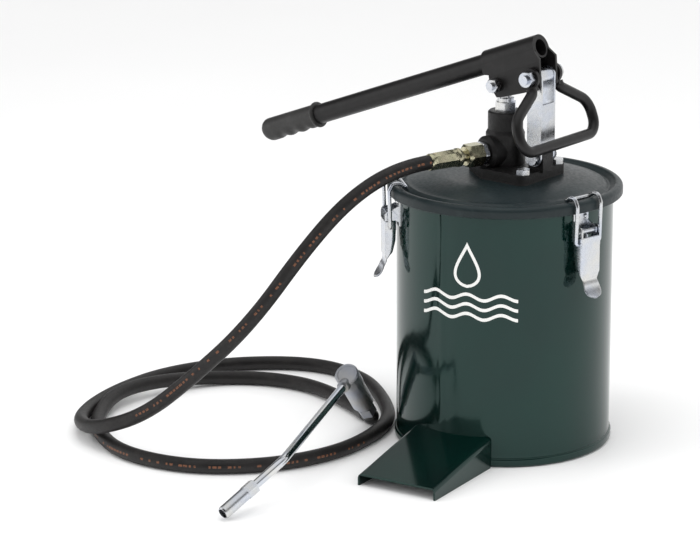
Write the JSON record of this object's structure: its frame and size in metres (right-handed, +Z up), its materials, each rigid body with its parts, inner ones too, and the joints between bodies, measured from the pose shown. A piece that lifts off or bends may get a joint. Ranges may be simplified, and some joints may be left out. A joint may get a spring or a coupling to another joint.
{
  "type": "gear oil pump",
  "caption": "Hand lever gear oil pump on a round clamped drum, with a foot plate, carrying bail, hose and angled filling nozzle.",
  "frame": {"origin": "centre of the drum's foot, on the floor", "axes": "+Z up; +X from the drum's axis to the lever's fulcrum, so the lever's grip points to -X; +Y along the fulcrum bolt"},
  "size_m": [0.5439, 0.512, 0.4276],
  "materials": {
    "drum_paint": "gloss",
    "lid_paint": "satin",
    "black_paint": "satin",
    "casting_paint": "textured satin",
    "bright_zinc": "satin",
    "yellow_zinc": "satin",
    "steel": "machined",
    "hose_rubber": "matt",
    "grip_rubber": "satin",
    "seal_rubber": "matt",
    "black_plastic": "satin",
    "bronze": "machined"
  },
  "bodies": {
    "drum_and_head": {"drum_body": "drum_paint", "drum_base_ring": "drum_paint", "foot_plate": "drum_paint", "lid": "lid_paint", "lid_gasket": "seal_rubber", "flange_gasket": "seal_rubber", "flange_bolts": "bright_zinc", "flange_nuts": "bright_zinc", "pump_body": "casting_paint", "gland_nut": "bright_zinc", "gland_packing": "seal_rubber", "pump_barrel": "steel", "foot_valve": "steel", "strainer": "steel", "outlet_washer": "seal_rubber", "outlet_adapter": "bright_zinc", "swivel_nut": "yellow_zinc", "hose_stem": "yellow_zinc", "hose_ferrule": "yellow_zinc", "hose": "hose_rubber", "end_ferrule": "black_plastic", "end_elbow": "black_plastic", "nozzle_body": "bright_zinc", "lower_pin": "bright_zinc", "lower_pin_nut": "bright_zinc", "latch_rivets": "bright_zinc", "latch_base_1": "bright_zinc", "latch_base_2": "bright_zinc", "latch_base_3": "bright_zinc", "latch_pin_1": "bright_zinc", "latch_pin_2": "bright_zinc", "latch_pin_3": "bright_zinc"},
    "link": {"link": "bright_zinc", "fulcrum_bolt": "bright_zinc", "fulcrum_nut": "bright_zinc", "fulcrum_spacer": "bright_zinc"},
    "lever": {"lever_bracket": "black_paint", "lever_tube": "black_paint", "lever_grip": "grip_rubber", "plunger_pin": "bright_zinc", "plunger_pin_nut": "bright_zinc"},
    "bail": {"carry_bail": "black_paint"},
    "plunger": {"plunger_rod": "steel", "piston": "steel", "piston_ring": "bronze", "piston_seat": "bronze"},
    "piston_ball": {"piston_ball": "steel"},
    "suction_ball": {"suction_ball": "steel"},
    "spout": {"nozzle_head": "bright_zinc", "nozzle_seal": "seal_rubber", "nozzle_tube": "bright_zinc", "coupler_body": "bright_zinc", "coupler_jaws": "steel"},
    "latch_lever_1": {"latch_lever_1": "bright_zinc"},
    "latch_loop_1": {"latch_loop_1": "bright_zinc"},
    "latch_lever_2": {"latch_lever_2": "bright_zinc"},
    "latch_loop_2": {"latch_loop_2": "bright_zinc"},
    "latch_lever_3": {"latch_lever_3": "bright_zinc"},
    "latch_loop_3": {"latch_loop_3": "bright_zinc"}
  },
  "joints": [
    {"name": "link_sway", "type": "hinge", "parent": "drum_and_head", "child": "link", "pos_m": [0.0435, 0, 0.3035], "axis": [0, -1, 0], "range_deg": [0, 1.5]},
    {"name": "lever_hinge", "type": "hinge", "parent": "link", "child": "lever", "pos_m": [0.0435, 0, 0.3865], "axis": [0, 1, 0], "range_deg": [0, 40]},
    {"name": "bail_hinge", "type": "hinge", "parent": "link", "child": "bail", "pos_m": [0.0435, 0, 0.3865], "axis": [0, -1, 0], "range_deg": [0, 176]},
    {"name": "plunger_slide", "type": "slide", "parent": "drum_and_head", "child": "plunger", "axis": [0, 0, 1], "range_m": [0, 0.03]},
    {"name": "piston_ball_lift", "type": "slide", "parent": "plunger", "child": "piston_ball", "axis": [0, 0, 1], "range_m": [0, 0.003]},
    {"name": "suction_ball_lift", "type": "slide", "parent": "drum_and_head", "child": "suction_ball", "axis": [0, 0, 1], "range_m": [0, 0.003]},
    {"name": "spout_swivel", "type": "hinge", "parent": "drum_and_head", "child": "spout", "pos_m": [-0.12514, -0.06341, 0.0088], "axis": [0.189, -0.6814, 0.7071], "range_deg": [-45, 0]},
    {"name": "latch_lever_hinge_1", "type": "hinge", "parent": "drum_and_head", "child": "latch_lever_1", "pos_m": [0.11813, -0.02619, 0.243], "axis": [-0.2164, -0.9763, 0], "range_deg": [0, 110]},
    {"name": "latch_loop_hinge_1", "type": "hinge", "parent": "latch_lever_1", "child": "latch_loop_1", "pos_m": [0.11911, -0.02641, 0.231], "axis": [-0.2164, -0.9763, 0], "range_deg": [-88.5, 0]},
    {"name": "latch_lever_hinge_2", "type": "hinge", "parent": "drum_and_head", "child": "latch_lever_2", "pos_m": [-0.08175, -0.08921, 0.243], "axis": [-0.7373, 0.6756, 0], "range_deg": [0, 110]},
    {"name": "latch_loop_hinge_2", "type": "hinge", "parent": "latch_lever_2", "child": "latch_loop_2", "pos_m": [-0.08242, -0.08995, 0.231], "axis": [-0.7373, 0.6756, 0], "range_deg": [-88.5, 0]},
    {"name": "latch_lever_hinge_3", "type": "hinge", "parent": "drum_and_head", "child": "latch_lever_3", "pos_m": [-0.03639, 0.1154, 0.243], "axis": [0.9537, 0.3007, 0], "range_deg": [0, 110]},
    {"name": "latch_loop_hinge_3", "type": "hinge", "parent": "latch_lever_3", "child": "latch_loop_3", "pos_m": [-0.03669, 0.11635, 0.231], "axis": [0.9537, 0.3007, 0], "range_deg": [-88.5, 0]}
  ],
  "couplings": [
    {"joint": "link_sway", "follows": "lever_hinge", "ratio": 0.0375},
    {"joint": "plunger_slide", "follows": "lever_hinge", "m_per_rad": 0.0427},
    {"joint": "latch_loop_hinge_1", "follows": "latch_lever_hinge_1", "ratio": -0.8},
    {"joint": "latch_loop_hinge_2", "follows": "latch_lever_hinge_2", "ratio": -0.8},
    {"joint": "latch_loop_hinge_3", "follows": "latch_lever_hinge_3", "ratio": -0.8}
  ]
}
